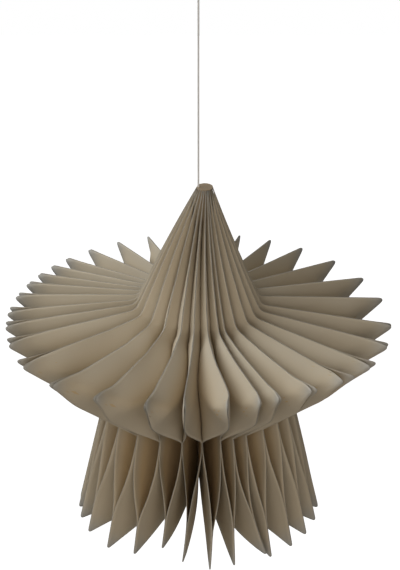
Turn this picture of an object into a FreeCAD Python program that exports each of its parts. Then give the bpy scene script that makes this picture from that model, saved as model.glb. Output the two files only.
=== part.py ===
"""Honeycomb paper star ornament on its hanging thread.

Stiff paper leaves, each cut to half a five-pointed star, are glued in pairs along
alternate strips and fanned right round an upright axis.  The fan opens into a
pleated cone, a wide brim and a flared skirt, and hangs from a taut thread.

Frame: millimetres, +Z up, +X to the right of the fan's seam, which faces -Y.
The origin is the bearing point of the hanging loop at the top of the thread.
"""
import FreeCAD
import Part

import math
import os

# ---- Star: the half-star outline of one leaf, radius from the axis and drop below the apex ----
CORE_R = 2.0
NECK_R = 16.1
NECK_DROP = 33.2
BRIM_R = 50.0
BRIM_DROP = 38.6
WAIST_R = 24.0
WAIST_DROP = 59.8
SKIRT_R = 31.4
SKIRT_DROP = 94.0
NOTCH_DROP = 83.5
HUB_DROP = 50.1
NECK_ROUND = 1.5
TIP_ROUND = 1.3

# ---- Card and glue ----
CARD = 0.21
GLUE_STRIP = 1.0
PLEAT_DEPTH = 2.6
PETAL_PLEATS = 1.7
HEAD_DROP = 18.0

# ---- Holds along each side of the outline, as shares of the way from the valley (0) to the ridge (1):
# ---- (share along, as glued, change as the ridge's tips spring, change as the valley splits) ----
CONE_EDGE = ((0.0, 1.0, 0.0, 0.0), (1.0, 1.0, 0.0, 0.0))
BRIM_TOP = ((0.0, 1.0, 0.0, 0.0), (0.65, 1.0, 0.0, 0.0), (0.85, 1.0, -0.25, 0.0), (1.0, 1.0, -1.0, 0.0))
BRIM_UNDERSIDE = (
    (0.0, 1.0, -1.0, 0.0), (0.2, 1.0, -0.7, 0.0), (0.45, 1.0, -0.2, 0.0), (0.66, 0.9, 0.0, 0.0),
    (0.85, 0.4, 0.0, 0.0), (1.0, 0.0, 0.0, 0.0),
)
SKIRT_SIDE = (
    (0.0, 0.0, 0.0, 0.0), (0.28, 0.0, 0.0, 0.0), (0.45, 0.03, 0.0, 0.55), (0.6, 0.3, 0.0, 0.7),
    (0.75, 0.8, 0.0, 0.2), (0.88, 1.0, 0.0, 0.0), (1.0, 1.0, 0.0, 0.0),
)

# ---- Bottoms of the pleats: (share along the edge above, depth in pleats, share towards the ridge) ----
CONE_PLEAT = ((0.35, 0.7, 0.4), (0.5, 1.0, 0.3), (0.65, 1.0, 0.2), (0.8, 1.0, 0.15), (0.95, 1.0, 0.1))
BRIM_PLEAT = ((0.08, 1.2, 0.1), (0.22, 1.5, 0.12), (0.38, 1.8, 0.2), (0.54, 1.9, 0.32), (0.7, 1.7, 0.5))
WAIST_WEB = ((0.35, 0.15), (0.7, 0.0))

# ---- How the fan stands: azimuth of each glued ridge, in degrees from the seam towards +X, and how far
# ---- its two tips have sprung apart (0 together, 1 against the next ridges' tips) ----
RIDGES = (
    (-164.0, 0.00), (-154.0, 0.00), (-144.0, 0.05), (-135.0, 0.10), (-128.5, 0.12), (-122.0, 0.15),
    (-115.5, 0.25), (-107.5, 0.40), (-97.5, 0.40), (-88.9, 0.35), (-78.9, 0.30), (-65.6, 0.25),
    (-48.3, 0.15), (-32.0, 0.10), (-15.8, 0.06), (-4.0, 0.03), (8.5, 0.00), (18.5, 0.02),
    (24.5, 0.05), (36.0, 0.15), (50.0, 0.35), (63.0, 0.40), (76.5, 0.20), (88.5, 0.10),
    (105.0, 0.00), (119.0, 0.00), (133.0, 0.00), (146.0, 0.00), (157.0, 0.00), (167.0, 0.00),
    (181.0, 0.00),
)
PETAL_BOW_DEG = 2.0
PETAL_SPREAD_DEG = 60.0
SEAM_SPLIT_DEG = 20.0
LEAN_OFFSET = 1.6
SAG_DEPTH = 1.5
SAG_AZIMUTH_DEG = -40.0
SAG_SPREAD_DEG = 45.0

# ---- Hanging thread, its knot and its loop ----
THREAD_D = 0.5
THREAD_RUN = 60.0
KNOT_R = 1.0
KNOT_H = 1.5
LOOP_R = 2.4
LOOP_H = 9.0
LOOP_FOOT = 0.3

# ---- Fineness of the folded surface: where its grid meets each side of the outline, and how far
# ---- down the spine the corners of the outline are tied to it ----
CONE_GRID = (0.3, 0.62)
BRIM_GRID = (0.3, 0.62)
UNDERSIDE_GRID = (0.3, 0.6, 0.85)
SKIRT_GRID = (0.28, 0.56, 0.88)
SPINE_LEVELS = (0.0, 0.42, 0.62, 0.72, 0.90, 1.0)

# ---- Limits of the folds, as shares: of the way to the spine that a pleat takes in the cone and the
# ---- skirt, of a petal's height, of a cell that a free leaf keeps clear and that its card may fill ----
CONE_REACH = 0.6
SKIRT_REACH = 0.6
PETAL_REACH = 0.4
HOLD_SHARE = 0.03
CARD_SHARE = 0.4
LEAST_SPRING = 0.04
MIDWAY = (0.5, 0.0, 0.0)

# ---- How many holds each side of the outline has ----
CONE_HOLDS = 9
BRIM_HOLDS = 11
UNDERSIDE_HOLDS = 10
SKIRT_HOLDS = 11
SPINE_HOLDS = 6


# ---------------------------------------------------------------- the bent leaf
def between(a, b, share):
    """Point a given share of the way from a to b."""
    return tuple(p + (q - p) * share for p, q in zip(a, b))


def solve(matrix, values):
    """Gaussian elimination with row pivoting."""
    rows = [list(row) + [value] for row, value in zip(matrix, values)]
    size = len(rows)
    for col in range(size):
        pivot = max(range(col, size), key=lambda i: abs(rows[i][col]))
        rows[col], rows[pivot] = rows[pivot], rows[col]
        for i in range(col + 1, size):
            factor = rows[i][col] / rows[col][col]
            for j in range(col, size + 1):
                rows[i][j] -= factor * rows[col][j]
    answer = [0.0] * size
    for i in reversed(range(size)):
        rest = sum(rows[i][j] * answer[j] for j in range(i + 1, size))
        answer[i] = (rows[i][size] - rest) / rows[i][i]
    return answer


def plate_kernel(a, b):
    """Bending kernel of a thin plate between two of its points."""
    gap = math.dist(a, b)
    return gap * gap * math.log(gap) if gap > 0 else 0.0


def bent_plate(points, deflections):
    """Deflection of a thin card held at given points, as a function of radius and drop."""
    size = len(points)
    matrix = [[plate_kernel(a, b) for b in points] + [1.0, a[0], a[1]] for a in points]
    for part in range(3):
        matrix.append([(1.0, p[0], p[1])[part] for p in points] + [0.0] * 3)
    weights = solve(matrix, list(deflections) + [0.0] * 3)

    def deflection(r, drop):
        bent = sum(w * plate_kernel((r, drop), p) for w, p in zip(weights, points))
        return bent + weights[size] + weights[size + 1] * r + weights[size + 2] * drop

    return deflection


APEX_Z = -(LOOP_H + KNOT_H + THREAD_RUN)
APEX = (CORE_R, 0.0)
NECK = (NECK_R, NECK_DROP)
BRIM = (BRIM_R, BRIM_DROP)
WAIST = (WAIST_R, WAIST_DROP)
SKIRT = (SKIRT_R, SKIRT_DROP)
NOTCH = (CORE_R, NOTCH_DROP)
HUB = (CORE_R, HUB_DROP)
SIDES = {
    (APEX, NECK): (CONE_EDGE, CONE_HOLDS),
    (NECK, BRIM): (BRIM_TOP, BRIM_HOLDS),
    (BRIM, WAIST): (BRIM_UNDERSIDE, UNDERSIDE_HOLDS),
    (WAIST, SKIRT): (SKIRT_SIDE, SKIRT_HOLDS),
}


def profile_values(profile, share):
    """The three values of a profile at a share along its side."""
    for low, high in zip(profile, profile[1:]):
        if share <= high[0]:
            return between(low[1:], high[1:], (share - low[0]) / (high[0] - low[0]))
    return profile[-1][1:]


def leaf_holds():
    """Where one leaf is held: {(radius, drop): (as glued, as its tip springs, as its valley splits)}."""
    holds = {}
    for step in range(SPINE_HOLDS):
        holds[(CORE_R, NOTCH_DROP * (step + 1) / SPINE_HOLDS)] = MIDWAY
    for (start, end), (profile, count) in SIDES.items():
        for step in range(1, count + 1):
            holds[between(start, end, step / count)] = profile_values(profile, step / count)
    for share, depth, held in CONE_PLEAT:
        r, drop = between(APEX, NECK, share)
        holds[(r - depth * PLEAT_DEPTH, drop)] = (held, 0.0, 0.0)
    for share, depth, held in BRIM_PLEAT:
        r, drop = between(NECK, BRIM, share)
        holds[(r, drop + depth * PLEAT_DEPTH)] = (held, 0.0, 0.0)
    for share, held in WAIST_WEB:
        holds[between(HUB, WAIST, share)] = (held, 0.0, 0.0)
    return holds


def leaf_bends():
    """The leaf's bend as glued, and what a sprung tip and a split valley add to it."""
    holds = leaf_holds()
    points = list(holds)
    glued = bent_plate(points, [(2 * holds[p][0] - 1) * p[0] for p in points])
    springing = bent_plate(points, [holds[p][1] * p[0] for p in points])
    splitting = bent_plate(points, [holds[p][2] * p[0] for p in points])
    return glued, springing, splitting


LEAF_BENDS = leaf_bends()


# ---------------------------------------------------------------- the grid over one leaf
class Node:
    """One grid point of a leaf: where it is, how it moves, and whether it is glued to either neighbour."""

    def __init__(self, point, values=None):
        self.r, self.drop = point
        glued, springing, splitting = (bend(*point) / self.r for bend in LEAF_BENDS)
        self.shares = ((glued + 1) / 2, springing, splitting)
        self.values = values

    def share(self, spring, split):
        """How far the leaf stands towards its ridge here: 0 on the valley side, 1 on the ridge side."""
        glued, springing, splitting = self.shares
        share = glued + spring * springing + split * splitting
        return min(max(share, HOLD_SHARE), 1 - HOLD_SHARE)

    def ridge_glued(self, spring):
        """Whether the leaf is glued to its ridge here, given how far the ridge's tips spring."""
        if self.values is None:
            return True
        held, springing, _ = self.values
        return held == 1 and (springing == 0 or spring < LEAST_SPRING)

    def valley_glued(self):
        """Whether the leaf is glued to its valley here."""
        if self.values is None:
            return True
        held, _, splitting = self.values
        return held == 0 and splitting == 0


class Column:
    """One line of the grid: spine, bottom of the pleat, inner end of the glue, and outline."""

    def __init__(self, point, level, middle, values):
        spine = spine_point(level)
        self.single = math.dist(spine, point) < GLUE_STRIP
        if self.single:
            spine = point
        self.spine = Node(spine)
        if self.single:
            self.middle = self.strip = self.rim = self.spine
            return
        middle = middle or between(spine, point, SKIRT_REACH)
        self.middle = Node(middle, MIDWAY)
        reach = min(GLUE_STRIP / math.dist(point, middle), 0.5)
        self.strip = Node(between(point, middle, reach), values)
        self.rim = Node(point, values)

    def face(self, glued):
        """Nodes of one face from the spine out; a glued face stops where the glue begins."""
        if self.single:
            return [self.spine, self.spine]
        return [self.spine, self.middle] + ([self.strip, self.rim] if glued else [self.rim])


def spine_point(level):
    """Inner end of a column: the core, which swells to fill the packed head of the cone."""
    drop = NOTCH_DROP * level
    cone = CORE_R + (NECK_R - CORE_R) * drop / NECK_DROP
    head = CORE_R + (NECK_R - CORE_R) * HEAD_DROP / NECK_DROP
    open_depth = (head - CORE_R) * (drop / HEAD_DROP) ** 2
    return (max(CORE_R, cone - open_depth), drop)


def petal_middle(point, upper):
    """Bottom of the pleat under a point of the brim's top edge, or over one of its underside."""
    r = min(point[0], BRIM_R - 3 * TIP_ROUND)
    top = between(NECK, BRIM, (r - NECK_R) / (BRIM_R - NECK_R))[1]
    bottom = between(WAIST, BRIM, (r - WAIST_R) / (BRIM_R - WAIST_R))[1]
    depth = min(PETAL_PLEATS * PLEAT_DEPTH, PETAL_REACH * (bottom - top))
    return (r, top + depth if upper else bottom - depth)


def cone_middle(point):
    """Bottom of the pleat inside a point of the cone."""
    r, drop = point
    return (max(r - PLEAT_DEPTH, CORE_R + (r - CORE_R) * CONE_REACH), drop)


def leaf_grid():
    """Columns along the outline, which is rounded at the neck and at both tips."""
    levels = dict(zip((APEX, NECK, BRIM, WAIST, SKIRT, NOTCH), SPINE_LEVELS))
    rounding = {NECK: NECK_ROUND, BRIM: TIP_ROUND, SKIRT: TIP_ROUND}
    columns = []

    def add(start, end, share, middle, values):
        level = levels[start] + (levels[end] - levels[start]) * share
        point = between(start, end, share)
        columns.append(Column(point, level, middle(point) if middle else None, values))

    def side(start, end, grid, middle, profile):
        length = math.dist(start, end)
        first = rounding.get(start, 0.0) / length
        last = 1 - rounding.get(end, 0.0) / length
        shares = [first] + [share for share in grid if first < share < last]
        if end in rounding:
            shares.append(last)
        for share in shares:
            add(start, end, share, middle, profile_values(profile, share))

    side(APEX, NECK, CONE_GRID, cone_middle, CONE_EDGE)
    side(NECK, BRIM, BRIM_GRID, lambda p: petal_middle(p, True), BRIM_TOP)
    side(BRIM, WAIST, UNDERSIDE_GRID, lambda p: petal_middle(p, False), BRIM_UNDERSIDE)
    side(WAIST, SKIRT, SKIRT_GRID, None, SKIRT_SIDE)
    hem = TIP_ROUND / math.dist(SKIRT, NOTCH)
    add(SKIRT, NOTCH, hem, None, SKIRT_SIDE[-1][1:])
    add(SKIRT, NOTCH, 1.0, None, None)
    return columns


# ---------------------------------------------------------------- the fan of leaves
def bow(line, r):
    """Sideways bow of the ridge on a glue line, which swells away from the seam towards the rim."""
    azimuth = (line + 180) % 360 - 180
    reach = max(0.0, 1 - abs(azimuth) / PETAL_SPREAD_DEG)
    if r <= NECK_R or reach == 0:
        return 0.0
    along = (r - NECK_R) / (BRIM_R - NECK_R)
    return math.copysign(PETAL_BOW_DEG * reach * math.sin(math.pi * along) ** 2, azimuth)


def glue_lines():
    """Glue lines round the fan, clockwise, ridge and valley in turn: (azimuth, spring or split)."""
    ridges = sorted(RIDGES)
    following = ridges[1:] + [(ridges[0][0] + 360, 0.0)]
    lines = []
    for (ridge, spring), (after, _) in zip(ridges, following):
        valley = (ridge + after) / 2
        centre = (valley + 180) % 360 - 180
        lines.append((ridge, spring))
        lines.append((valley, max(0.0, 1 - abs(centre) / SEAM_SPLIT_DEG)))
    return lines


def sag(azimuth, r, drop):
    """How far the brim and the top of the skirt hang below their places."""
    aside = ((azimuth - SAG_AZIMUTH_DEG + 180) % 360 - 180) / SAG_SPREAD_DEG
    out = min(max((r - NECK_R) / (WAIST_R - NECK_R), 0), 1)
    under = min((SKIRT_DROP - drop) / (SKIRT_DROP - WAIST_DROP), 1)
    return SAG_DEPTH * math.cos(min(max(aside, -1), 1) * math.pi / 2) ** 2 * out * under


def place(azimuth, r, drop):
    """Point of the star in the part's frame."""
    turn = math.radians(azimuth)
    lean = LEAN_OFFSET * max(0.0, 1 - drop / NECK_DROP) ** 2
    return (lean + r * math.sin(turn), -r * math.cos(turn), APEX_Z - drop - sag(azimuth, r, drop))


class Fan:
    """Collects the vertices and facets of the whole glued fan."""

    def __init__(self):
        self.grid = leaf_grid()
        self.lines = glue_lines()
        self.vertices = []
        self.facets = []
        self.known = {}

    def vertex(self, key, point):
        """Number of the vertex with this key, placed on its first use."""
        if key not in self.known:
            self.known[key] = len(self.vertices)
            self.vertices.append(point)
        return self.known[key]

    def glued(self, leaf, right, node):
        """Whether a face of a leaf is glued to its neighbour at a node."""
        border = (leaf + 1) % len(self.lines) if right else leaf
        return node.ridge_glued(self.lines[border][1]) if border % 2 == 0 else node.valley_glued()

    def face_vertex(self, leaf, right, node):
        """Vertex on one face of a leaf; glued faces share the vertex on their glue line."""
        count = len(self.lines)
        border = (leaf + 1) % count
        left_line, left_loose = self.lines[leaf]
        right_line, right_loose = self.lines[border]
        right_line += 360 if border == 0 else 0
        ridge_on_left = leaf % 2 == 0
        if self.glued(leaf, right, node):
            line = right_line if right else left_line
            at = border if right else leaf
            spot = line + (bow(line, node.r) if at % 2 == 0 else 0)
            return self.vertex(("glued", at, id(node)), place(spot, node.r, node.drop))
        swell = right_line - left_line
        half = min(math.degrees(CARD / (2 * node.r)), CARD_SHARE * swell)
        spring, split = (left_loose, right_loose) if ridge_on_left else (right_loose, left_loose)
        held = node.share(spring, split)
        share = 1 - held if ridge_on_left else held
        middle = left_line + half + share * (swell - 2 * half)
        ridge_line = left_line if ridge_on_left else right_line
        spot = middle + (half if right else -half) + held * bow(ridge_line, node.r)
        return self.vertex(("free", leaf, right, id(node)), place(spot, node.r, node.drop))

    def facet(self, trio, turned):
        """Add a triangle, unless two of its corners are one."""
        if len(set(trio)) == 3:
            self.facets.append(tuple(trio[::-1]) if turned else tuple(trio))

    def leaf_face(self, leaf, right):
        """One face of a leaf, cut along the same diagonals as its other face."""
        for first, second in zip(self.grid, self.grid[1:]):
            stuck = [self.glued(leaf, right, column.rim) for column in (first, second)]
            sides = []
            for column, glued in zip((first, second), stuck):
                line = [self.face_vertex(leaf, right, node) for node in column.face(glued)]
                if all(stuck) and not column.single:
                    line.pop()
                sides.append(line)
            near, far = sides
            self.band(near[:2], far[:2], not right)
            self.band(near[1:], far[1:], not right)

    def band(self, near, far, turned):
        """Triangles between two neighbouring runs of vertices: a fan on the near run, then the far one."""
        for a, b in zip(near, near[1:]):
            self.facet((a, b, far[0]), turned)
        for a, b in zip(far, far[1:]):
            self.facet((near[-1], b, a), turned)

    def leaf_rim(self, leaf):
        """Cut edge of a leaf."""
        for first, second in zip(self.grid, self.grid[1:]):
            near = [self.face_vertex(leaf, right, first.rim) for right in (False, True)]
            far = [self.face_vertex(leaf, right, second.rim) for right in (False, True)]
            self.facet((near[0], far[0], far[1]), False)
            self.facet((near[0], far[1], near[1]), False)

    def cap(self, node, upwards):
        """Flat end of the core."""
        ring = [self.face_vertex(leaf, False, node) for leaf in range(len(self.lines))]
        centre = self.vertex(("cap", upwards), place(0.0, 0.0, node.drop))
        for a, b in zip(ring, ring[1:] + ring[:1]):
            self.facets.append((centre, a, b) if upwards else (centre, b, a))

    def open_edges(self):
        """How many edges don't join exactly two facets."""
        edges = {}
        for facet in self.facets:
            for a, b in zip(facet, facet[1:] + facet[:1]):
                edges[(a, b)] = edges.get((a, b), 0) + 1
        return sum(count != 1 or edges.get(edge[::-1]) != 1 for edge, count in edges.items())

    def solid(self):
        """The closed fan: every leaf's faces and cut edge, and the two ends of the core."""
        for leaf in range(len(self.lines)):
            self.leaf_face(leaf, False)
            self.leaf_face(leaf, True)
            self.leaf_rim(leaf)
        self.cap(self.grid[0].spine, True)
        self.cap(self.grid[-1].spine, False)
        print("facets", len(self.facets), "open edges", self.open_edges())
        shape = Part.Shape()
        shape.makeShapeFromMesh((self.vertices, self.facets), 1e-5)
        return Part.Solid(Part.Shell(shape.Faces))


# ---------------------------------------------------------------- the hanging thread
def hanging_thread():
    """Taut run of thread from the knot down to the apex."""
    return Part.makeCylinder(THREAD_D / 2, THREAD_RUN, FreeCAD.Vector(0, 0, APEX_Z))


def thread_knot():
    """Tight round knot, flat where the thread leaves it below and the loop above."""
    centre = FreeCAD.Vector(0, 0, -LOOP_H - KNOT_H / 2)
    ball = Part.makeSphere(KNOT_R, centre)
    corner = centre - FreeCAD.Vector(2 * KNOT_R, 2 * KNOT_R, KNOT_H / 2)
    slab = Part.makeBox(4 * KNOT_R, 4 * KNOT_R, KNOT_H, corner)
    return ball.common(slab).Solids[0]


def hanging_loop(knot):
    """Teardrop of thread from the knot round whatever it hangs on, and back."""
    knot_z = -LOOP_H - KNOT_H / 2
    centre_z = THREAD_D / 2 - LOOP_R
    reach = math.hypot(LOOP_FOOT, centre_z - knot_z)
    turn = math.atan2(knot_z - centre_z, LOOP_FOOT) + math.acos(LOOP_R / reach)
    touch_x = LOOP_R * math.cos(turn)
    touch_z = centre_z + LOOP_R * math.sin(turn)
    right = (FreeCAD.Vector(LOOP_FOOT, 0, knot_z), FreeCAD.Vector(touch_x, 0, touch_z))
    left = (FreeCAD.Vector(-touch_x, 0, touch_z), FreeCAD.Vector(-LOOP_FOOT, 0, knot_z))
    top = FreeCAD.Vector(0, 0, centre_z + LOOP_R)
    edges = [
        Part.LineSegment(*right).toShape(),
        Part.Arc(right[1], top, left[0]).toShape(),
        Part.LineSegment(*left).toShape(),
    ]
    section = Part.Wire(Part.makeCircle(THREAD_D / 2, right[0], right[1] - right[0]))
    strand = Part.Wire(edges).makePipeShell([section], True, False)
    length = sum(edge.Length for edge in edges)
    print("loop radius", round(LOOP_R, 2), "length", round(length, 2))
    print("loop volume", round(strand.Volume, 3), "of", round(length * math.pi * THREAD_D ** 2 / 4, 3))
    return strand.cut(knot).Solids[0]


# ---------------------------------------------------------------- the sub-parts
def main():
    os.makedirs("parts", exist_ok=True)
    knot = thread_knot()
    shapes = {
        "paper_star": Fan().solid(),
        "hanging_thread": hanging_thread(),
        "thread_knot": knot,
        "hanging_loop": hanging_loop(knot),
    }
    for name, shape in shapes.items():
        shape.exportStep("parts/" + name + ".step")
        print(name, len(shape.Faces), "faces, valid", shape.isValid(), "volume", round(shape.Volume, 2))


main()
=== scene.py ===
"""Honeycomb paper star: glued leaves of stiff cream card on a taut white thread.

The star is a fan of half-star leaves opened right round an upright axis.  Each
leaf is a thin bent plate: it is glued to one neighbour along its ridge strip and
to the other at the waist, and is free in between, so it bows as card does.
"""
import math

import bmesh
import bpy
import numpy as np
from bpy.props import FloatProperty, FloatVectorProperty, IntProperty, PointerProperty
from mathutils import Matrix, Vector


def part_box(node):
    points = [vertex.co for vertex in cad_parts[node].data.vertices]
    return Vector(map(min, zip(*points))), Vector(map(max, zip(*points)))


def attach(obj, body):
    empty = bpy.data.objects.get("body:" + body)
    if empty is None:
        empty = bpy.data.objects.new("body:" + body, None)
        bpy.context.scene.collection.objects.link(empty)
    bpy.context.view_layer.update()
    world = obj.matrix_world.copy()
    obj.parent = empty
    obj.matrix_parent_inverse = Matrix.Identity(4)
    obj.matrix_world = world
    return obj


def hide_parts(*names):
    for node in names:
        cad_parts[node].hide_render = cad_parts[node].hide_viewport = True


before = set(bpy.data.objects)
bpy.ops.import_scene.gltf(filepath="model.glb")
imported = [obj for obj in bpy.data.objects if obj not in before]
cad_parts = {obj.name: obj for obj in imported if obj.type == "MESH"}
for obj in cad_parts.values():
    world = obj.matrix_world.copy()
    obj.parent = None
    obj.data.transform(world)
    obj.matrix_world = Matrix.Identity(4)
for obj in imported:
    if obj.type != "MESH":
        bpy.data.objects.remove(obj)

bl_info = {
    "name": "Honeycomb paper star",
    "version": (1, 0, 0),
    "blender": (4, 5, 0),
    "location": "View3D > Sidebar > Paper star",
    "description": "Builds a hanging honeycomb star of glued paper leaves",
    "category": "Object",
}

MM = 0.001
STAR_LOW, STAR_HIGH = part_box("paper_star")
THREAD_LOW, THREAD_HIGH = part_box("hanging_thread")
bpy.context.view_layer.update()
APEX_Z = STAR_HIGH[2]
STAR_HEIGHT = STAR_HIGH[2] - STAR_LOW[2]

# Ridges of the fan: azimuth in degrees from the seam towards +X, and how far the tips of
# the ridge's two leaves have sprung apart (0 together, 1 against the next ridges' tips).
RIDGES = (
    (-164.0, 0.00), (-154.0, 0.00), (-144.0, 0.05), (-135.0, 0.10), (-128.5, 0.12), (-122.0, 0.15),
    (-115.5, 0.25), (-107.5, 0.40), (-97.5, 0.40), (-88.9, 0.35), (-78.9, 0.30), (-65.6, 0.25),
    (-48.3, 0.12), (-32.0, 0.06), (-15.8, 0.02), (-4.0, 0.01), (8.5, 0.00), (18.5, 0.02),
    (24.5, 0.05), (36.0, 0.15), (50.0, 0.35), (63.0, 0.40), (76.5, 0.20), (88.5, 0.10),
    (105.0, 0.00), (119.0, 0.00), (133.0, 0.00), (146.0, 0.00), (157.0, 0.00), (167.0, 0.00),
    (181.0, 0.00),
)

# Blades of the skirt that stand out of line: {azimuth of the ridge: (turn of the tip in degrees,
# lift of the tip in mm)}.
SPRUNG_BLADES = {
    -32.0: (0.5, 2.0), -15.8: (-1.0, 6.0), -4.0: (-3.0, 2.3),
    8.5: (-4.5, 0.0), 18.5: (-2.5, 0.5), 24.5: (8.5, 1.5),
}

# Ridges that swell away from the seam: how much those left of it do, as a share of those right
# of it, and how far out towards the rim the swell lies (1 halfway, more for further out).
LEFT_BOW = 0.35
BOW_OUTWARDS = 1.6

# Fold bottoms that lean towards the seam: how soon the lean is full towards the seam and above the
# waist, the room that they leave for a ridge's swell, as a share of it, and how evenly they lean
# along their length (an even power).
LEAN_RATE = 1.6
LEAN_ABOVE_WAIST = 1.4
BOW_ROOM = 1.1
LEAN_EVENNESS = 4

# Curled tips of the brim: azimuths in degrees up to which the curl is full and over which it dies
# away, and how far a tip moves inwards as a share of its lift.
CURL_FRONT = 25.0
CURL_FADE = 50.0
CURL_INWARDS = 0.4

# How slowly a skirt blade's turn and lift grow from the waist down (1 evenly, more for later).
BLADE_BEND = 1.5

# Slow waves in a leaf: their lengths in mm, longest first, and the start of the random draws.
WAVES = (60.0, 26.0)
SEED = 7

# Packed core: bulge of its top, spread of the top's edge, and steps down the length that leans.
CORE_CROWN = 0.05 * MM
CORE_FLARE = 1.02
CORE_STEPS = 8

# Points of a leaf that are nearer than this, in metres, are one point.
MERGE = 1e-7

# Right half of the loop and its top, as shares of the loop's half width and of its rise.
LOOP_SIDE = ((0.25, 0.10), (0.85, 0.38), (1.02, 0.66), (0.85, 0.94))
LOOP_TOP = 1.02

# Soft lamps: {name: (place from the middle of the view in metres, colour)}, and their width.
LAMPS = {
    "key": ((-0.74, 0.06, 0.67), (0.94, 0.97, 1.0)),
    "rim": ((-0.58, 0.68, 0.45), (1.0, 1.0, 1.0)),
    "fill": ((0.0, -0.97, 0.24), (1.0, 0.90, 0.78)),
}
LAMP_WIDTH = 1.0

# Half the width of the floor, and how far the camera sees, in metres.
FLOOR_HALF = 6.0
CAMERA_REACH = 20.0


# ---------------------------------------------------------------- settings
class StarSizes(bpy.types.PropertyGroup):
    """Sizes of one half-star leaf, and of how the leaves are glued and hang."""

    core_radius: FloatProperty(
        name="Core radius", description="Radius of the packed spines", default=2.0 * MM, unit="LENGTH")
    neck_radius: FloatProperty(
        name="Neck radius", description="Radius where the cone meets the brim",
        default=16.1 * MM, unit="LENGTH")
    neck_drop: FloatProperty(
        name="Neck drop", description="Neck below the apex", default=33.2 * MM, unit="LENGTH")
    brim_radius: FloatProperty(
        name="Brim radius", description="Radius of the brim tips", default=50.0 * MM, unit="LENGTH")
    brim_drop: FloatProperty(
        name="Brim drop", description="Brim tips below the apex", default=38.6 * MM, unit="LENGTH")
    waist_radius: FloatProperty(
        name="Waist radius", description="Radius where the brim meets the skirt",
        default=24.0 * MM, unit="LENGTH")
    waist_drop: FloatProperty(
        name="Waist drop", description="Waist below the apex", default=59.8 * MM, unit="LENGTH")
    skirt_radius: FloatProperty(
        name="Skirt radius", description="Radius of the skirt tips", default=31.4 * MM, unit="LENGTH")
    skirt_drop: FloatProperty(
        name="Skirt drop", description="Skirt tips below the apex", default=STAR_HEIGHT, unit="LENGTH")
    notch_drop: FloatProperty(
        name="Notch drop", description="Lower end of the spines below the apex",
        default=83.5 * MM, unit="LENGTH")
    neck_round: FloatProperty(
        name="Neck rounding", description="Length of each side of the neck that the rounding takes",
        default=1.5 * MM, unit="LENGTH")
    tip_round: FloatProperty(
        name="Tip rounding", description="Length of each side of a tip that the rounding takes",
        default=1.3 * MM, unit="LENGTH")
    sag: FloatProperty(
        name="Sag", description="How far the brim sags where it hangs lowest",
        default=1.5 * MM, unit="LENGTH")
    sag_azimuth: FloatProperty(
        name="Sag azimuth", description="Where the brim hangs lowest, in degrees", default=-40.0)
    sag_spread: FloatProperty(
        name="Sag spread", description="Azimuth over which the sag dies away, in degrees", default=45.0)
    paper: FloatProperty(
        name="Paper", description="Thickness of one leaf", default=0.12 * MM, unit="LENGTH")
    head_drop: FloatProperty(
        name="Head drop", description="Depth below the apex at which the packed head has opened out",
        default=18.0 * MM, unit="LENGTH")
    apex_lean: FloatProperty(
        name="Apex lean", description="How far the apex leans towards +X", default=1.6 * MM, unit="LENGTH")
    pleat: FloatProperty(
        name="Pleat", description="Depth of the pleats along the cone", default=2.6 * MM, unit="LENGTH")
    petal_bow: FloatProperty(
        name="Petal bow", description="Sideways swell of the ridges beside the seam, in degrees", default=2.7)
    petal_spread: FloatProperty(
        name="Petal spread", description="Azimuth at which the swell has died away, in degrees", default=60.0)
    valley_lean: FloatProperty(
        name="Valley lean", description="Share of the room beside a fold's bottom that it leans into",
        default=0.8)
    lean_spread: FloatProperty(
        name="Lean spread", description="Azimuth at which the lean has died away, in degrees", default=75.0)
    curl: FloatProperty(
        name="Curl", description="How far the brim's tips curl up at the front",
        default=3.0 * MM, unit="LENGTH")
    curl_reach: FloatProperty(
        name="Curl reach", description="Length of the leaf that curls up with its tip",
        default=13.0 * MM, unit="LENGTH")
    seam_split: FloatProperty(
        name="Seam split", description="Azimuth within which the skirt's valleys part early, in degrees",
        default=20.0)
    waviness: FloatProperty(
        name="Waviness", description="Share of a cell by which a leaf wanders between its glue lines",
        default=0.10)
    rows: IntProperty(name="Rows", description="Grid steps from the spine to the outline", default=24)
    columns: IntProperty(name="Columns", description="Grid steps along each side of the outline", default=14)


class StarColours(bpy.types.PropertyGroup):
    """Colours of the card and the thread."""

    card: FloatVectorProperty(
        name="Card", description="Colour of the card", subtype="COLOR", size=3,
        default=(0.49, 0.435, 0.34))
    card_warm: FloatVectorProperty(
        name="Card, warm", description="Warmer blotches in the card", subtype="COLOR", size=3,
        default=(0.49, 0.42, 0.31))
    # Painted warm shade inside the folds, browner where the card lies deeper in shade.
    card_painted_warm_shade: FloatVectorProperty(
        name="Card, inside the folds", description="Card with painted warm shade inside the folds",
        subtype="COLOR", size=3, default=(0.50, 0.38, 0.225))
    # Painted cool cast of the sky light: the tips greyer and cooler than the card.
    card_tip_painted_sky: FloatVectorProperty(
        name="Card, tips", description="Card at the tips, greyer and cooler: painted cool sky light", subtype="COLOR", size=3,
        default=(0.40, 0.39, 0.36))
    # Partly the cut card's own darker colour, partly painted shade that damps the light the edges catch.
    card_edge_and_shade: FloatVectorProperty(
        name="Card edge", description="Colour of the cut edges", subtype="COLOR", size=3,
        default=(0.27, 0.235, 0.18))
    # Dark brown of the packed cut edges at the core.
    core_dark_brown: FloatVectorProperty(
        name="Core brown", description="Dark brown of the packed cut edges at the core", subtype="COLOR", size=3,
        default=(0.30, 0.20, 0.10))
    thread: FloatVectorProperty(
        name="Thread", description="Colour of the cotton", subtype="COLOR", size=3,
        default=(0.74, 0.74, 0.73))


class ThreadSizes(bpy.types.PropertyGroup):
    """Sizes of the hanging thread."""

    diameter: FloatProperty(
        name="Diameter", description="Thickness of the cotton",
        default=THREAD_HIGH[0] - THREAD_LOW[0], unit="LENGTH")
    knot_points: IntProperty(name="Knot points", description="Points round the knot's strand", default=36)


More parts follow.
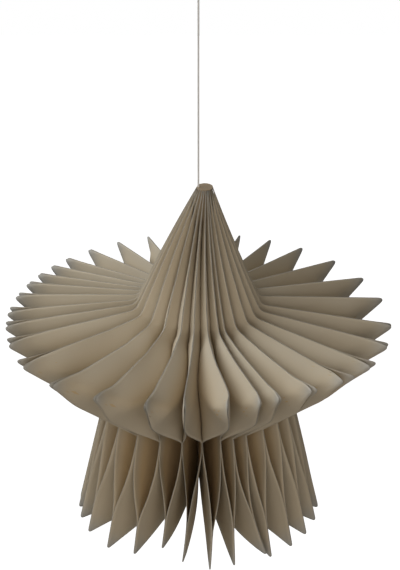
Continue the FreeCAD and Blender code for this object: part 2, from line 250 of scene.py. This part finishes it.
class StageSettings(bpy.types.PropertyGroup):
    """Camera, floor and light."""

    elevation: FloatProperty(
        name="Elevation", description="Height of the view above the horizon", subtype="ANGLE",
        default=math.radians(28.5))
    distance: FloatProperty(name="Distance", description="Camera to star", default=0.9, unit="LENGTH")
    view_drop: FloatProperty(
        name="View drop", description="Middle of the view below the apex", default=27.8 * MM, unit="LENGTH")
    view_width: FloatProperty(
        name="View width", description="Width seen at the star", default=101.0 * MM, unit="LENGTH")
    view_side: FloatProperty(
        name="View side", description="Middle of the view to the right of the axis",
        default=0.4 * MM, unit="LENGTH")
    floor_gap: FloatProperty(name="Floor gap", description="Floor below the star", default=2.6, unit="LENGTH")
    key_power: FloatProperty(name="Key power", description="Power of the lamp at the left", default=7.5)
    fill_power: FloatProperty(name="Fill power", description="Power of the lamp in front", default=4.4)
    rim_power: FloatProperty(name="Rim power", description="Power of the lamp behind", default=1.6)
    sky: FloatProperty(name="Sky", description="Strength of the surroundings", default=0.14)


# ---------------------------------------------------------------- materials
def new_material(name):
    """Material with its nodes, its links and its shader."""
    material = bpy.data.materials.new(name)
    material.use_nodes = True
    nodes = material.node_tree.nodes
    shader = nodes["Principled BSDF"]
    return material, nodes, material.node_tree.links, shader


def noise(nodes, links, coordinates, scale, detail=4.0):
    """Cloudy pattern between 0 and 1."""
    texture = nodes.new("ShaderNodeTexNoise")
    texture.inputs["Scale"].default_value = scale
    texture.inputs["Detail"].default_value = detail
    texture.inputs["Roughness"].default_value = 0.6
    links.new(coordinates, texture.inputs["Vector"])
    return texture.outputs["Fac"]


def attribute(nodes, name):
    """Value stored at the points of the mesh."""
    reader = nodes.new("ShaderNodeAttribute")
    reader.attribute_name = name
    return reader.outputs["Fac"]


def blend(nodes, links, factor, first, second):
    """Mix of two colours, each one a plain colour or the output of another node."""
    mix = nodes.new("ShaderNodeMix")
    mix.data_type = "RGBA"
    links.new(factor, mix.inputs["Factor"])
    for name, colour in (("A", first), ("B", second)):
        if isinstance(colour, bpy.types.NodeSocket):
            links.new(colour, mix.inputs[name])
        else:
            mix.inputs[name].default_value = (*colour, 1)
    return mix.outputs["Result"]


def card_material():
    """Uncoated cream card: matt, faintly mottled, with painted warm shade inside the folds and a painted cool
    cast of the sky light, greyer, at the tips.
    """
    colours = bpy.context.scene.star_colours
    material, nodes, links, shader = new_material("cream_card")
    place = nodes.new("ShaderNodeTexCoord").outputs["Object"]
    tone = blend(nodes, links, noise(nodes, links, place, scale=90.0), colours.card, colours.card_warm)
    # Painted warm shade: browner the deeper the card lies behind the outline.
    tone = blend(nodes, links, attribute(nodes, "inner"), tone, colours.card_painted_warm_shade)
    # Painted cool cast of the sky light, greyer and cooler at the tips.
    tone = blend(nodes, links, attribute(nodes, "tip"), tone, colours.card_tip_painted_sky)
    links.new(tone, shader.inputs["Base Color"])
    shader.inputs["Roughness"].default_value = 0.9
    shader.inputs["Specular IOR Level"].default_value = 0.25
    grain = noise(nodes, links, place, scale=2600.0, detail=3.0)
    bump = nodes.new("ShaderNodeBump")
    bump.inputs["Strength"].default_value = 0.12
    bump.inputs["Distance"].default_value = 0.05 * MM
    links.new(grain, bump.inputs["Height"])
    links.new(bump.outputs["Normal"], shader.inputs["Normal"])
    return material


def leaf_edge_material():
    """Cut edge of one leaf, darker than its face: partly the cut card's own colour, partly painted shade that
    damps the light the edges catch.
    """
    colours = bpy.context.scene.star_colours
    material, nodes, links, shader = new_material("card_edge_and_shade")
    place = nodes.new("ShaderNodeTexCoord").outputs["Object"]
    mottle = noise(nodes, links, place, scale=700.0)
    # Darker edge: partly its own colour, partly painted shade.
    tone = blend(nodes, links, mottle, colours.card_edge_and_shade, colours.card_tip_painted_sky)
    links.new(tone, shader.inputs["Base Color"])
    shader.inputs["Roughness"].default_value = 0.95
    shader.inputs["Specular IOR Level"].default_value = 0.1
    return material


def cut_edge_material():
    """Cut edges of all the leaves, packed side by side, mottled dark brown."""
    colours = bpy.context.scene.star_colours
    material, nodes, links, shader = new_material("cut_edges")
    place = nodes.new("ShaderNodeTexCoord").outputs["Object"]
    mottle = noise(nodes, links, place, scale=1500.0)
    tone = blend(nodes, links, mottle, colours.core_dark_brown, colours.card_edge_and_shade)
    links.new(tone, shader.inputs["Base Color"])
    shader.inputs["Roughness"].default_value = 0.9
    return material


def thread_material():
    """White cotton with a soft sheen."""
    colours = bpy.context.scene.star_colours
    material, _, _, shader = new_material("white_cotton")
    shader.inputs["Base Color"].default_value = (*colours.thread, 1)
    shader.inputs["Roughness"].default_value = 0.8
    shader.inputs["Sheen Weight"].default_value = 0.2
    return material


def shared_material(name, make):
    """Material of this name, made once."""
    return bpy.data.materials.get(name) or make()


# ---------------------------------------------------------------- the bent leaf
class BentPlate:
    """Deflections of a thin card that is held at a few of its points, one for each set of values."""

    def __init__(self, points, values):
        self.points = np.array(points, dtype=float)
        size = len(self.points)
        plane = np.column_stack([np.ones(size), self.points])
        matrix = np.zeros((size + 3, size + 3))
        matrix[:size, :size] = self.kernel(self.points)
        matrix[:size, size:] = plane
        matrix[size:, :size] = plane.T
        self.weights = np.linalg.solve(matrix, np.vstack([values, np.zeros((3, len(values[0])))]))

    def kernel(self, at):
        """How much a pull at each held point bends the plate at each of these points."""
        gap = np.linalg.norm(at[:, None, :] - self.points[None, :, :], axis=2)
        return gap ** 2 * np.log(np.where(gap > 0, gap, 1.0))

    def __call__(self, at):
        """Deflections at each of these points."""
        plane = np.column_stack([np.ones(len(at)), at])
        return np.hstack([self.kernel(at), plane]) @ self.weights


def along(start, end, share):
    """Point at a share of the way from one point to another."""
    return tuple(a + (b - a) * share for a, b in zip(start, end))


def in_mm(radius, drop):
    """The same radius and drop, from metres to millimetres."""
    return (radius / MM, drop / MM)


def turned(degrees):
    """The same azimuth, between -180 and 180 degrees."""
    return (degrees + 180) % 360 - 180


def fading(azimuth, spread):
    """1 at the seam, falling evenly to 0 at the spread on either side of it."""
    return max(0.0, 1 - abs(azimuth) / spread)


class LeafShape:
    """Outline, grid and bend that all the leaves share, in millimetres of radius and drop."""

    # Shares of a cell that a leaf keeps clear of each glue line, and over which it eases into its
    # valley.  The easing grows with the distance from the waist: it is full at a reach in mm, and
    # nowhere less than a share of that.
    HOLD = 0.004
    EASE = 0.03
    EASE_REACH = 12.0
    EASE_LEAST = 0.1

    # The two leaves of a ridge part behind their glue strip: the strip's width and the length over
    # which they part, in mm, and how far they part, as a share of a cell.  That limit is soft over
    # a share of the parting, and over a share of a cell at the strip itself.
    STRIP = 0.4
    PARTING = 3.0
    APART = 0.06
    APART_EASE = 0.4
    STRIP_EASE = 0.001

    # Painted warm shade, in mm of depth behind the outline: its length inside a fold, and on the open side
    # its start, its length and its strength.
    SHADE_REACH = 4.0
    OPEN_START = 3.0
    OPEN_SHADE_REACH = 12.0
    OPEN_TONE = 0.45

    # Painted cool cast of the sky light at a tip, greyer and cooler than the card, in mm from its corner:
    # where it starts to fade, and over what length.
    TIP_GREY = 1.0
    TIP_FADE = 5.0

    # Rounding: its steps, and how much blunter the brim's tips are than the skirt's.
    ROUND_STEPS = 5
    BRIM_BLUNTNESS = 1.8

    # Shares of the spine at which the grid's columns to the outline's six corners start, and the
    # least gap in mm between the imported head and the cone's edge.
    CORNER_LEVELS = (0.0, 0.40, 0.55, 0.70, 0.90, 1.0)
    HEAD_GAP = 0.02

    # Number of holds down the spine.  In the web between it and the waist: the share of the spine's
    # length at which the line of holds starts, and each hold's (share along it, share towards the
    # ridge).
    SPINE_HOLDS = 6
    WEB_START = 0.6
    WEB = ((0.35, 0.15), (0.7, 0.0))

    # Holds along each side of the outline: their number, and the profile that they follow, as (share
    # along, share towards the ridge, change as the tip springs, change as the valley splits).
    CONE_HOLDS, BRIM_HOLDS, UNDERSIDE_HOLDS, SKIRT_HOLDS = 9, 11, 10, 11
    CONE_EDGE = ((0.0, 1.0, 0.0, 0.0), (1.0, 1.0, 0.0, 0.0))
    BRIM_TOP = (
        (0.0, 1.0, 0.0, 0.0), (0.65, 1.0, 0.0, 0.0), (0.85, 1.0, -0.25, 0.0), (1.0, 1.0, -1.0, 0.0),
    )
    BRIM_UNDERSIDE = (
        (0.0, 1.0, -1.0, 0.0), (0.2, 1.0, -0.7, 0.0), (0.45, 1.0, -0.2, 0.0), (0.66, 0.9, 0.0, 0.0),
        (0.85, 0.4, 0.0, 0.0), (1.0, 0.0, 0.0, 0.0),
    )
    SKIRT_SIDE = (
        (0.0, 0.0, 0.0, 0.0), (0.1, 0.02, 0.0, 0.05), (0.28, 0.22, 0.0, 0.15), (0.45, 0.52, 0.0, 0.2),
        (0.6, 0.85, 0.0, 0.1), (0.7, 1.0, 0.0, 0.0), (1.0, 1.0, 0.0, 0.0),
    )

    # Bottoms of the pleats: (share along the outline, depth behind it in pleats, share towards the
    # ridge).
    CONE_PLEAT = (
        (0.35, 0.7, 0.4), (0.5, 1.0, 0.3), (0.65, 1.0, 0.2), (0.8, 1.0, 0.15), (0.95, 1.0, 0.1),
    )
    BRIM_PLEAT = (
        (0.08, 1.2, 0.14), (0.22, 1.5, 0.16), (0.38, 1.8, 0.23), (0.54, 1.9, 0.34), (0.7, 1.7, 0.5),
    )

    def __init__(self, sizes):
        self.sizes = sizes
        self.apex = in_mm(sizes.core_radius, 0.0)
        self.neck = in_mm(sizes.neck_radius, sizes.neck_drop)
        self.brim = in_mm(sizes.brim_radius, sizes.brim_drop)
        self.waist = in_mm(sizes.waist_radius, sizes.waist_drop)
        self.skirt = in_mm(sizes.skirt_radius, sizes.skirt_drop)
        self.notch = in_mm(sizes.core_radius, sizes.notch_drop)
        self.nodes = self.grid()
        self.fields = self.bend()

    def away(self, place):
        """Distance in mm of every node of the grid from a place."""
        return np.linalg.norm(self.nodes - np.array(place), axis=2)

    def holds(self):
        """Places at which a leaf is held.

        Each is (point, share towards the ridge, change as the tip springs, change as the valley splits).
        """
        core, end = self.notch
        spine_steps = range(1, self.SPINE_HOLDS + 1)
        holds = [((core, end * step / self.SPINE_HOLDS), 0.5, 0.0, 0.0) for step in spine_steps]
        for start, finish, steps, profile in (
            (self.apex, self.neck, self.CONE_HOLDS, self.CONE_EDGE),
            (self.neck, self.brim, self.BRIM_HOLDS, self.BRIM_TOP),
            (self.brim, self.waist, self.UNDERSIDE_HOLDS, self.BRIM_UNDERSIDE),
            (self.waist, self.skirt, self.SKIRT_HOLDS, self.SKIRT_SIDE),
        ):
            at, *values = zip(*profile)
            for step in range(1, steps + 1):
                share = step / steps
                held = (np.interp(share, at, value) for value in values)
                holds.append((along(start, finish, share), *held))
        for share, depth, held in self.CONE_PLEAT:
            radius, drop = along(self.apex, self.neck, share)
            holds.append(((radius - depth * self.sizes.pleat / MM, drop), held, 0.0, 0.0))
        for share, depth, held in self.BRIM_PLEAT:
            radius, drop = along(self.neck, self.brim, share)
            holds.append(((radius, drop + depth * self.sizes.pleat / MM), held, 0.0, 0.0))
        for share, held in self.WEB:
            holds.append((along((core, end * self.WEB_START), self.waist, share), held, 0.0, 0.0))
        return holds

    def bend(self):
        """Share towards the ridge at every node, and its changes as the tip springs and the valley splits."""
        holds = self.holds()
        radius = np.array([point[0] for point, *_ in holds])
        shares = np.array([values for _, *values in holds])
        shares[:, 0] = 2 * shares[:, 0] - 1
        plate = BentPlate([point for point, *_ in holds], shares * radius[:, None])
        flat = self.nodes.reshape(-1, 2)
        fields = plate(flat) / flat[:, :1]
        fields[:, 0] = (fields[:, 0] + 1) / 2
        return np.moveaxis(fields.reshape(*self.nodes.shape[:2], 3), 2, 0)

    def share(self, spring, split, wander):
        """Where one leaf stands between its valley (0) and its ridge (1) at every node."""
        glued, springing, splitting = self.fields
        share = np.minimum(glued + spring * springing + split * splitting, 1 - self.HOLD)
        share = share + 4 * np.clip(share * (1 - share), 0, 1) * wander
        ease = self.EASE * np.clip(self.away(self.waist) / self.EASE_REACH, self.EASE_LEAST, 1)
        share = self.HOLD + ease * np.logaddexp(0.0, (share - self.HOLD) / ease)
        # Behind the glued strip along the outline, the two leaves of a ridge stand a little apart.
        inside = np.clip((self.away(self.nodes[:, -1:, :]) - self.STRIP) / self.PARTING, 0, 1)
        most = 1 - self.HOLD - self.APART * inside
        ease = self.STRIP_EASE + self.APART * self.APART_EASE * inside
        return most - ease * np.logaddexp(0.0, (most - share) / ease)

    def tones(self, ridge_on_left):
        """How far each point of the two faces takes the painted warm shade by its depth, and how far it takes
        the painted cool cast at a tip.
        """
        depth = self.away(self.nodes[:, -1:, :])
        # Painted warm shade: full inside a fold, weaker on its open side.
        folded = np.clip((depth - self.STRIP) / self.SHADE_REACH, 0, 1)
        open_side = self.OPEN_TONE * np.clip((depth - self.OPEN_START) / self.OPEN_SHADE_REACH, 0, 1)
        inner = [folded, open_side] if ridge_on_left else [open_side, folded]
        # Painted cool cast of the sky light, fading away from each tip's corner.
        tip = np.zeros(depth.shape)
        for corner in (self.brim, self.skirt):
            grey = 1 - (self.away(corner) - self.TIP_GREY) / self.TIP_FADE
            tip = np.maximum(tip, np.clip(grey, 0, 1))
        return {
            "inner": np.concatenate([side.ravel() for side in inner]),
            "tip": np.concatenate([tip.ravel(), tip.ravel()]),
        }

    def spine(self, level):
        """Inner end of a column: on the core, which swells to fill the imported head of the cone."""
        core, end = self.notch
        drop = end * level
        head = self.sizes.head_drop / MM
        cone = core + (self.neck[0] - core) * drop / self.neck[1]
        open_depth = (self.neck[0] - core) * head / self.neck[1] * (drop / head) ** 2
        return (max(core, cone - open_depth - self.HEAD_GAP), drop)

    def grid(self):
        """Nodes of the leaf, in a column of even steps from the spine to each point of the outline."""
        corners = [self.apex, self.neck, self.brim, self.waist, self.skirt, self.notch]
        levels = dict(zip(corners, self.CORNER_LEVELS))
        tip_round = self.sizes.tip_round
        rounds = {self.neck: self.sizes.neck_round / MM, self.brim: self.BRIM_BLUNTNESS * tip_round / MM,
                  self.skirt: tip_round / MM}
        places = []
        for start, finish in zip(corners, corners[1:]):
            length = math.dist(start, finish)
            first, last = rounds.get(start, 0.0) / length, 1 - rounds.get(finish, 0.0) / length
            for step in range(self.sizes.columns + 1):
                share = first + (last - first) * step / self.sizes.columns
                if step < self.sizes.columns or finish in rounds:
                    level = levels[start] + (levels[finish] - levels[start]) * share
                    places.append((along(start, finish, share), level))
            if finish in rounds:
                before, level = places[-1]
                following = corners[corners.index(finish) + 1]
                setback = rounds[finish] / math.dist(finish, following)
                after = along(finish, following, setback)
                level_after = levels[finish] + (levels[following] - levels[finish]) * setback
                for step in range(1, self.ROUND_STEPS):
                    share = step / self.ROUND_STEPS
                    point = along(along(before, finish, share), along(finish, after, share), share)
                    places.append((point, level + (level_after - level) * share))
        columns = [(point, self.spine(level)) for point, level in places]
        columns.append((self.notch, self.notch))
        rows = np.linspace(0.0, 1.0, self.sizes.rows + 1)
        return np.array([[along(spine, point, row) for row in rows] for point, spine in columns])


def glue_lines():
    """Glue lines round the fan, in turn (azimuth, spring of the tips) of a ridge and (azimuth, room
    in degrees to the ridge on each side) of a valley.
    """
    lines = []
    following = RIDGES[1:] + ((RIDGES[0][0] + 360, RIDGES[0][1]),)
    for (ridge, spring), (after, _) in zip(RIDGES, following):
        lines += [(ridge, spring), ((ridge + after) / 2, (after - ridge) / 2)]
    return lines


def valley_lean(shape, valley):
    """Lean of a fold's bottom towards the seam, under the ridge beside it, in degrees at every node."""
    sizes = shape.sizes
    azimuth, room = turned(valley[0]), valley[1]
    bow = (1.0 if azimuth > 0 else LEFT_BOW) * sizes.petal_bow * fading(azimuth, sizes.petal_spread)
    radius, drop = shape.nodes[..., 0] * MM, shape.nodes[..., 1] * MM
    out = np.clip((radius - sizes.neck_radius) / (sizes.brim_radius - sizes.neck_radius), 0, 1)
    over = (sizes.waist_drop - drop) / (sizes.waist_drop - sizes.neck_drop) * LEAN_ABOVE_WAIST
    reach = min(1.0, LEAN_RATE * fading(azimuth, sizes.lean_spread))
    amount = sizes.valley_lean * reach * max(0.0, room - BOW_ROOM * bow)
    return -math.copysign(amount, azimuth) * (1 - (2 * out - 1) ** LEAN_EVENNESS) * np.clip(over, 0, 1)


def ridge_bow(sizes, azimuth, radius):
    """Swell of a ridge away from the seam between the neck and the rim, in degrees."""
    azimuth = turned(azimuth)
    neck, brim = sizes.neck_radius / MM, sizes.brim_radius / MM
    out = np.clip((radius - neck) / (brim - neck), 0, 1)
    side = 1.0 if azimuth > 0 else -LEFT_BOW
    reach = fading(azimuth, sizes.petal_spread)
    return side * sizes.petal_bow * reach * np.sin(np.pi * out ** BOW_OUTWARDS) ** 2


def curled(shape, azimuths):
    """Lift in mm of each node by the curl of the brim's tips, which are curled at the front only."""
    sizes = shape.sizes
    away = shape.away(shape.brim) * MM / sizes.curl_reach
    near = (1 - np.clip(away, 0, 1) ** 2) ** 2
    aside = np.clip((np.abs(turned(azimuths)) - CURL_FRONT) / CURL_FADE, 0, 1)
    return sizes.curl / MM * near * np.cos(aside * math.pi / 2) ** 2


def blade_reach(shape):
    """How far out along its skirt blade each node is: 0 at the waist and the spine, 1 at the tip."""
    sizes = shape.sizes
    radius, drop = shape.nodes[..., 0] * MM, shape.nodes[..., 1] * MM
    down = np.clip((drop - sizes.waist_drop) / (sizes.skirt_drop - sizes.waist_drop), 0, 1)
    out = np.clip((radius - sizes.core_radius) / (sizes.skirt_radius - sizes.core_radius), 0, 1)
    return down ** BLADE_BEND * out


def wander(shape, random):
    """Slow waves in one leaf, as shares of the cell that it stands in."""
    radius, drop = shape.nodes[..., 0], shape.nodes[..., 1]
    waves = np.zeros(radius.shape)
    for length in WAVES:
        turn, phase = random.uniform(0, math.tau), random.uniform(0, math.tau)
        way = (radius * math.cos(turn) + drop * math.sin(turn)) / length
        waves += np.sin(math.tau * way + phase) * length / WAVES[0]
    return shape.sizes.waviness * waves


def leaf_sides(shape, left, right, ridge_on_left, random):
    """Azimuths of the two faces of the leaf between two glue lines, and the lift of its skirt blade in
    mm, at every node.
    """
    sizes = shape.sizes
    ridge, valley = (left, right) if ridge_on_left else (right, left)
    split = fading(turned(valley[0]), sizes.seam_split)
    held = shape.share(ridge[1], split, wander(shape, random))
    radius = shape.nodes[..., 0]
    cell = right[0] - left[0]
    half = np.minimum(np.degrees(sizes.paper / MM / (2 * radius)), cell / 2)
    share = 1 - held if ridge_on_left else held
    middle = left[0] + half + share * (cell - 2 * half)
    middle = middle + held * ridge_bow(sizes, ridge[0], radius) + (1 - held) * valley_lean(shape, valley)
    turn, lift = SPRUNG_BLADES.get(ridge[0], (0.0, 0.0))
    blade = blade_reach(shape) * held
    middle = middle + turn * blade
    return (middle - half, middle + half), lift * blade


def stand(shape, azimuths, lift):
    """Points of one face of a leaf, in metres."""
    radius, drop = shape.nodes[..., 0], shape.nodes[..., 1] - lift
    turn = np.radians(azimuths)
    sizes = shape.sizes
    neck = sizes.neck_drop / MM
    lean = sizes.apex_lean / MM * np.clip(1 - drop / neck, 0, 1) ** 2
    aside = turned(azimuths - sizes.sag_azimuth) / sizes.sag_spread
    out = np.clip((radius * MM - sizes.neck_radius) / (sizes.waist_radius - sizes.neck_radius), 0, 1)
    under = np.clip((sizes.skirt_drop - drop * MM) / (sizes.skirt_drop - sizes.waist_drop), 0, 1)
    drop = drop + sizes.sag / MM * np.cos(np.clip(aside, -1, 1) * math.pi / 2) ** 2 * out * under
    curl = curled(shape, azimuths)
    drop = drop - curl
    radius = radius - CURL_INWARDS * curl
    return np.stack([
        (lean + radius * np.sin(turn)) * MM,
        -radius * np.cos(turn) * MM,
        APEX_Z - drop * MM,
    ], axis=-1)


def leaf_mesh(name, sides, tones):
    """Closed thin plate from the grids of its two faces; its cut edge takes the second material."""
    columns, rows = sides[0].shape[:2]
    vertices = np.concatenate([side.reshape(-1, 3) for side in sides])
    back = columns * rows
    faces = []
    cut = []

    def at(column, row):
        return column * rows + row

    for c in range(columns - 1):
        for r in range(rows - 1):
            quad = (at(c, r), at(c, r + 1), at(c + 1, r + 1), at(c + 1, r))
            faces.append(quad[::-1])
            faces.append(tuple(back + v for v in quad))
        for r, inner in ((0, True), (rows - 1, False)):
            near, far = at(c, r), at(c + 1, r)
            edge = (near, far, back + far, back + near)
            faces.append(edge[::-1] if inner else edge)
            cut.append(len(faces) - 1)
    mesh = bpy.data.meshes.new(name)
    mesh.from_pydata(vertices.tolist(), [], faces)
    for index in cut:
        mesh.polygons[index].material_index = 1
    for tone, values in tones.items():
        mesh.attributes.new(tone, "FLOAT", "POINT").data.foreach_set("value", values)
    tidy = bmesh.new()
    tidy.from_mesh(mesh)
    bmesh.ops.remove_doubles(tidy, verts=tidy.verts, dist=MERGE)
    bmesh.ops.dissolve_degenerate(tidy, dist=MERGE, edges=tidy.edges)
    tidy.to_mesh(mesh)
    tidy.free()
    mesh.validate()
    mesh.shade_smooth()
    return mesh


class STAR_OT_leaves(bpy.types.Operator):
    """Cut the leaves, bend them and glue them round the spine"""

    bl_idname = "star.leaves"
    bl_label = "Leaves"

    def execute(self, context):
        shape = LeafShape(context.scene.star_sizes)
        card = shared_material("cream_card", card_material)
        edge = shared_material("card_edge_and_shade", leaf_edge_material)
        random = np.random.default_rng(SEED)
        lines = glue_lines()
        lines.append((lines[0][0] + 360, lines[0][1]))
        for i in range(len(lines) - 1):
            ridge_on_left = i % 2 == 0
            faces, lift = leaf_sides(shape, lines[i], lines[i + 1], ridge_on_left, random)
            name = f"leaf_{i + 1:02d}"
            tones = shape.tones(ridge_on_left)
            mesh = leaf_mesh(name, [stand(shape, azimuths, lift) for azimuths in faces], tones)
            mesh.materials.append(card)
            mesh.materials.append(edge)
            leaf = bpy.data.objects.new(name, mesh)
            context.collection.objects.link(leaf)
            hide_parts("paper_star")
            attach(leaf, "root")
        return {"FINISHED"}


class STAR_OT_core(bpy.types.Operator):
    """Press the spines of all the leaves into one round core"""

    bl_idname = "star.core"
    bl_label = "Packed core"

    def execute(self, context):
        sizes = context.scene.star_sizes
        count = 2 * len(RIDGES)
        lean, neck = sizes.apex_lean, sizes.neck_drop
        profile = [(0.0, -CORE_CROWN), (sizes.core_radius * CORE_FLARE, 0.0)]
        profile += [(sizes.core_radius, neck * step / CORE_STEPS) for step in range(1, CORE_STEPS + 1)]
        profile += [(sizes.core_radius, sizes.notch_drop), (0.0, sizes.notch_drop)]
        build = bmesh.new()
        rings = []
        for radius, drop in profile:
            shift = lean * max(0.0, 1 - drop / neck) ** 2
            turns = [math.tau * i / count for i in range(count)] if radius else [0.0]
            rings.append([
                build.verts.new((shift + radius * math.sin(t), -radius * math.cos(t), APEX_Z - drop))
                for t in turns
            ])
        for upper, lower in zip(rings, rings[1:]):
            for i in range(count):
                j = (i + 1) % count
                corners = [
                    lower[i % len(lower)], lower[j % len(lower)],
                    upper[j % len(upper)], upper[i % len(upper)],
                ]
                build.faces.new(list(dict.fromkeys(corners)))
        bmesh.ops.recalc_face_normals(build, faces=build.faces)
        mesh = bpy.data.meshes.new("packed_core")
        build.to_mesh(mesh)
        build.free()
        mesh.materials.append(shared_material("cut_edges", cut_edge_material))
        core = bpy.data.objects.new("packed_core", mesh)
        context.collection.objects.link(core)
        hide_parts("paper_star")
        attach(core, "root")
        return {"FINISHED"}


# ---------------------------------------------------------------- the hanging thread
def strand_tube(name, route, radius, closed=False):
    """Round strand along a smooth route of points, in metres."""
    curve = bpy.data.curves.new(name, "CURVE")
    curve.dimensions = "3D"
    curve.bevel_depth = radius
    curve.bevel_resolution = 4
    curve.resolution_u = 12
    spline = curve.splines.new("NURBS")
    spline.points.add(len(route) - 1)
    for point, place in zip(spline.points, route):
        point.co = (*place, 1.0)
    spline.order_u = 3
    spline.use_endpoint_u = not closed
    spline.use_cyclic_u = closed
    strand = bpy.data.objects.new(name, curve)
    bpy.context.collection.objects.link(strand)
    curve.materials.append(shared_material("white_cotton", thread_material))
    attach(strand, "root")
    return strand


class STAR_OT_thread(bpy.types.Operator):
    """Hang the star on its taut thread, with the knot and the loop that the thread ends in"""

    bl_idname = "star.thread"
    bl_label = "Hanging thread"

    def execute(self, context):
        radius = context.scene.star_thread.diameter / 2
        knot = self.knot(context, radius)
        loop = self.loop(radius)
        low, high = THREAD_LOW[2], THREAD_HIGH[2]
        route = [(0.0, 0.0, low + (high - low) * share) for share in (0.0, 0.25, 0.5, 0.75, 1.0)]
        thread = strand_tube("thread", route, radius)
        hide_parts("hanging_thread")
        return {"FINISHED"}

    def knot(self, context, radius):
        """Overhand knot: a closed trefoil of thread, squeezed into the height of the knot."""
        low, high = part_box("thread_knot")
        middle = Vector((low[0] + high[0], low[1] + high[1], low[2] + high[2])) / 2
        wide = (high[0] - low[0]) / 2 - radius
        tall = (high[2] - low[2]) / 2 - radius
        count = context.scene.star_thread.knot_points
        route = []
        for i in range(count):
            turn = math.tau * i / count
            reach = (2 + math.cos(3 * turn)) / 3 * wide
            route.append(middle + Vector((
                reach * math.cos(2 * turn), reach * math.sin(2 * turn), tall * math.sin(3 * turn))))
        knot = strand_tube("knot", route, radius, closed=True)
        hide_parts("thread_knot")
        return knot

    def loop(self, radius):
        """Loop of thread that goes over a nail or a hook."""
        low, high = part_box("hanging_loop")
        half = (high[0] - low[0]) / 2 - radius
        top, foot = high[2] - radius, low[2] + radius
        rise = top - foot
        right = [(x * half, z * rise) for x, z in LOOP_SIDE]
        left = [(-x, z) for x, z in reversed(right)]
        outline = [(0.0, 0.0), *right, (0.0, LOOP_TOP * rise), *left]
        loop = strand_tube("loop", [(x, 0.0, foot + z) for x, z in outline], radius, closed=True)
        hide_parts("hanging_loop")
        return loop


# ---------------------------------------------------------------- the stage
def seen_rays(nodes, links):
    """1 for rays from the camera and from reflections, 0 for the rest."""
    path = nodes.new("ShaderNodeLightPath")
    seen = nodes.new("ShaderNodeMath")
    seen.operation = "MAXIMUM"
    links.new(path.outputs["Is Camera Ray"], seen.inputs[0])
    links.new(path.outputs["Is Glossy Ray"], seen.inputs[1])
    return seen.outputs[0]


def white_floor_material():
    """Pale floor that reads as white to the camera and in reflections."""
    material, nodes, links, shader = new_material("pale_floor")
    shader.inputs["Base Color"].default_value = (0.85, 0.85, 0.85, 1)
    shader.inputs["Roughness"].default_value = 0.9
    shader.inputs["Emission Color"].default_value = (1, 1, 1, 1)
    links.new(seen_rays(nodes, links), shader.inputs["Emission Strength"])
    return material


def soft_sky(strength):
    """Even surroundings: white to the camera and in reflections, dimmer as light."""
    world = bpy.data.worlds.new("soft_sky")
    bpy.context.scene.world = world
    world.use_nodes = True
    nodes, links = world.node_tree.nodes, world.node_tree.links
    back = nodes["Background"]
    back.inputs["Color"].default_value = (1, 1, 1, 1)
    level = nodes.new("ShaderNodeMapRange")
    level.inputs["To Min"].default_value = strength
    level.inputs["To Max"].default_value = 1.0
    links.new(seen_rays(nodes, links), level.inputs["Value"])
    links.new(level.outputs["Result"], back.inputs["Strength"])


def soft_lamp(name, target, power):
    """Round lamp that faces the middle of the view."""
    place, colour = LAMPS[name]
    lamp = bpy.data.lights.new(name, "AREA")
    lamp.shape = "DISK"
    lamp.size = LAMP_WIDTH
    lamp.energy = power
    lamp.color = colour
    spot = target + Vector(place)
    lamp_object = bpy.data.objects.new(name, lamp)
    lamp_object.location = spot
    lamp_object.rotation_euler = (target - spot).to_track_quat("-Z", "Y").to_euler()
    bpy.context.collection.objects.link(lamp_object)


class STAR_OT_stage(bpy.types.Operator):
    """Set the camera, the pale floor and the soft light"""

    bl_idname = "star.stage"
    bl_label = "Stage"

    def execute(self, context):
        scene = context.scene
        stage = scene.star_stage
        scene.view_settings.view_transform = "Standard"
        target = Vector((stage.view_side, 0.0, APEX_Z - stage.view_drop))
        back = Vector((0.0, -math.cos(stage.elevation), math.sin(stage.elevation)))
        lens = bpy.data.cameras.new("camera")
        lens.sensor_fit = "HORIZONTAL"
        lens.angle = 2 * math.atan(stage.view_width / 2 / stage.distance)
        lens.clip_end = CAMERA_REACH
        camera = bpy.data.objects.new("camera", lens)
        camera.location = target + back * stage.distance
        camera.rotation_euler = (-back).to_track_quat("-Z", "Y").to_euler()
        context.collection.objects.link(camera)
        scene.camera = camera

        floor_mesh = bpy.data.meshes.new("floor")
        half, z = FLOOR_HALF, STAR_LOW[2] - stage.floor_gap
        floor_mesh.from_pydata(
            [(-half, -half, z), (half, -half, z), (half, half, z), (-half, half, z)], [], [(0, 1, 2, 3)])
        floor_mesh.materials.append(white_floor_material())
        floor = bpy.data.objects.new("floor", floor_mesh)
        context.collection.objects.link(floor)

        soft_sky(stage.sky)
        soft_lamp("key", target, stage.key_power)
        soft_lamp("rim", target, stage.rim_power)
        soft_lamp("fill", target, stage.fill_power)
        return {"FINISHED"}


class STAR_PT_panel(bpy.types.Panel):
    """Steps that build the paper star"""

    bl_label = "Paper star"
    bl_idname = "STAR_PT_panel"
    bl_space_type = "VIEW_3D"
    bl_region_type = "UI"
    bl_category = "Paper star"

    def draw(self, context):
        for operator in OPERATORS:
            self.layout.operator(operator.bl_idname)


OPERATORS = (STAR_OT_leaves, STAR_OT_core, STAR_OT_thread, STAR_OT_stage)
GROUPS = {
    "star_sizes": StarSizes, "star_colours": StarColours,
    "star_thread": ThreadSizes, "star_stage": StageSettings,
}
CLASSES = (*GROUPS.values(), *OPERATORS, STAR_PT_panel)


def register():
    for cls in CLASSES:
        bpy.utils.register_class(cls)
    for name, group in GROUPS.items():
        setattr(bpy.types.Scene, name, PointerProperty(type=group))


def unregister():
    for name in GROUPS:
        delattr(bpy.types.Scene, name)
    for cls in reversed(CLASSES):
        bpy.utils.unregister_class(cls)


def main():
    register()
    bpy.ops.star.leaves()
    bpy.ops.star.core()
    bpy.ops.star.thread()
    bpy.ops.star.stage()


if __name__ == "__main__":
    main()
